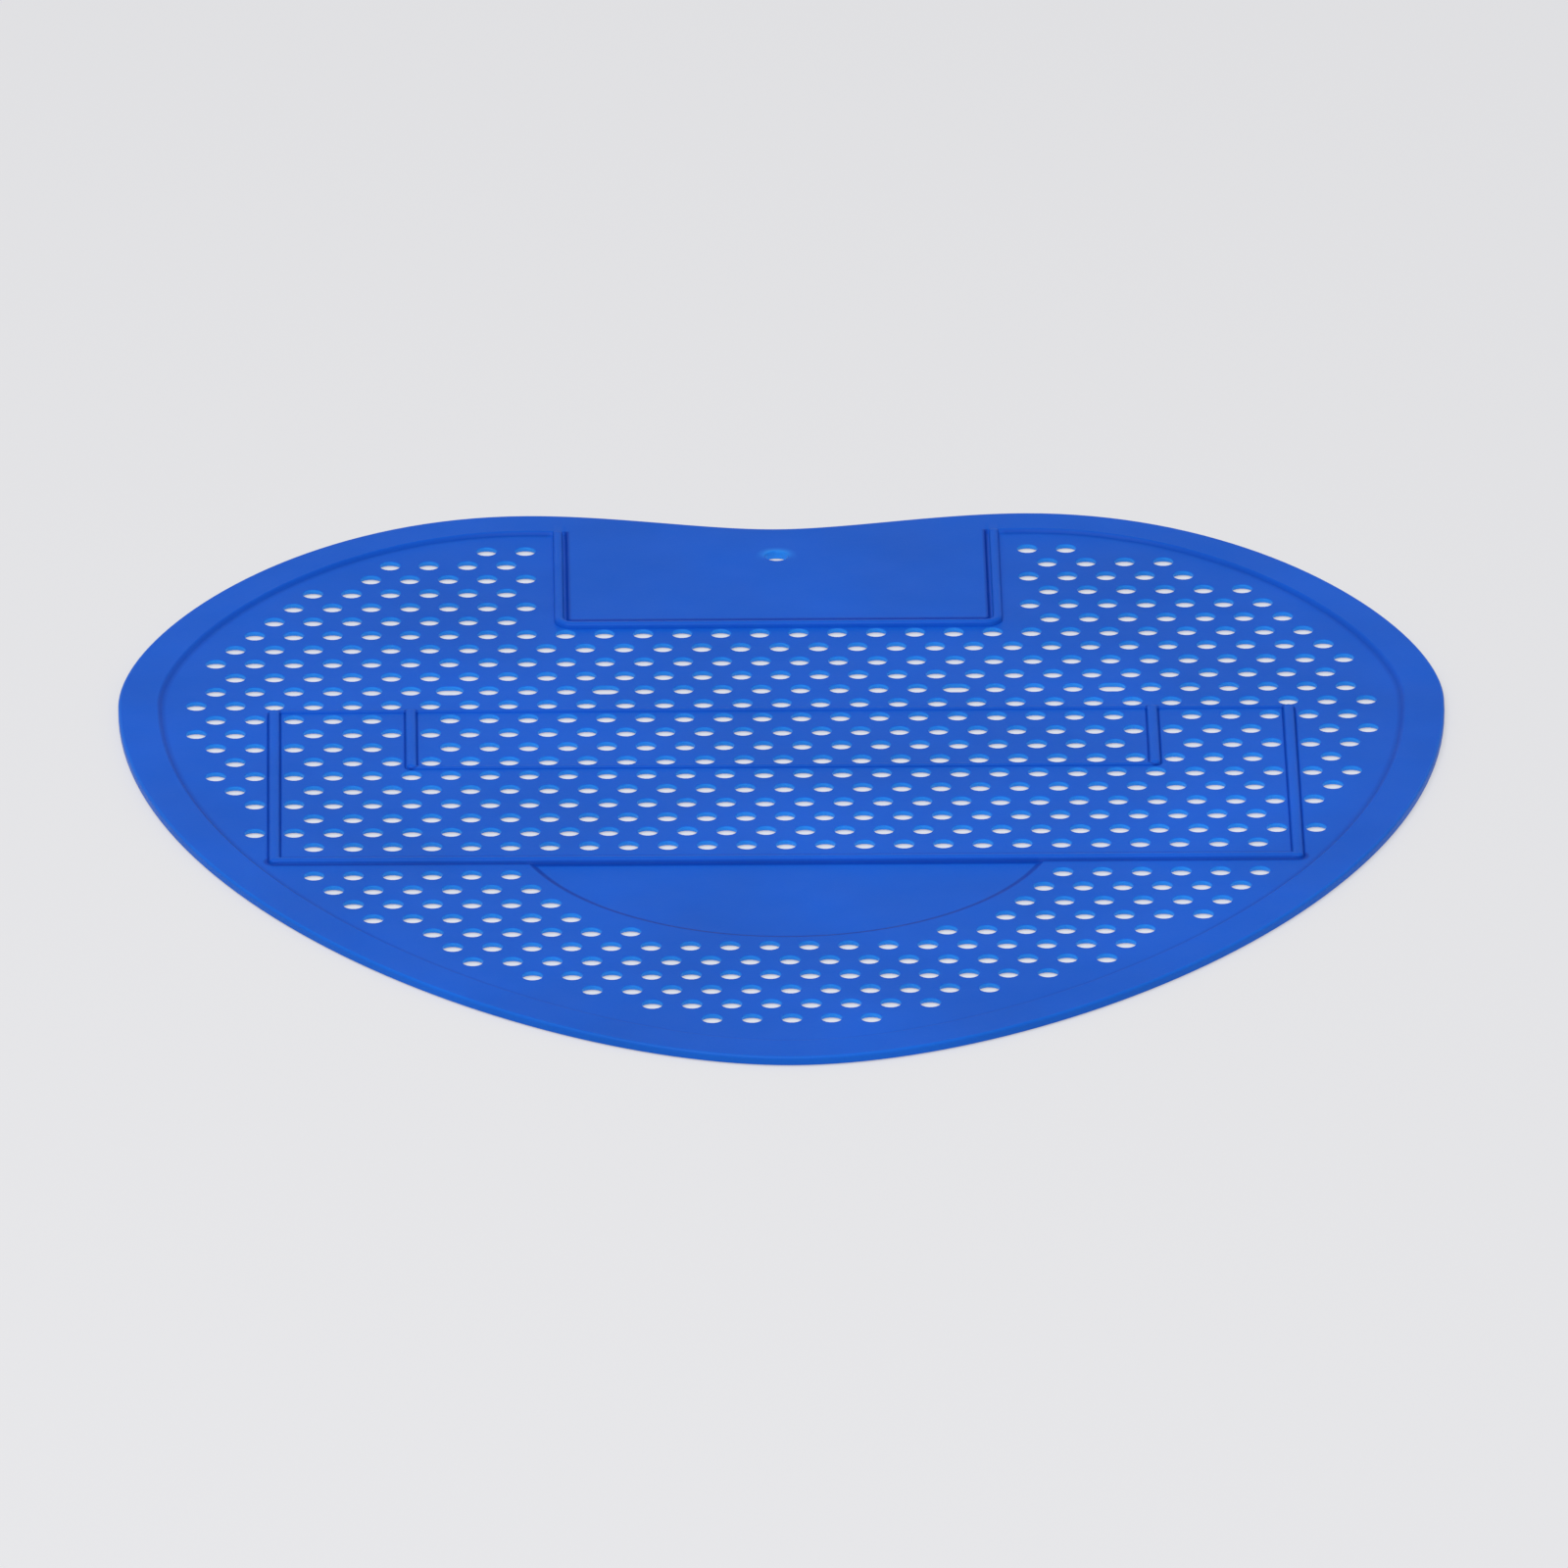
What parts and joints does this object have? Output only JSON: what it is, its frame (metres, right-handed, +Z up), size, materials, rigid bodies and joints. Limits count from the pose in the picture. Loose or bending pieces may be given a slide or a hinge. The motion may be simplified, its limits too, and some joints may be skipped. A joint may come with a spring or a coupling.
{
  "type": "urinal deodorizer screen",
  "caption": "Thin moulded perforated screen, heart-like in plan, with a raised rim, a plain label panel with a hanging hole, framing bars and a sunk crescent.",
  "frame": {"origin": "on the surface that the sheet lies on, under the middle of its bounding box", "axes": "+X across the sheet, +Y towards the notched edge that faces the wall, +Z up through the thickness"},
  "size_m": [0.187, 0.1826, 0.0016],
  "materials": {
    "blue_vinyl": "satin"
  },
  "bodies": {
    "root": {"screen": "blue_vinyl"}
  },
  "joints": []
}
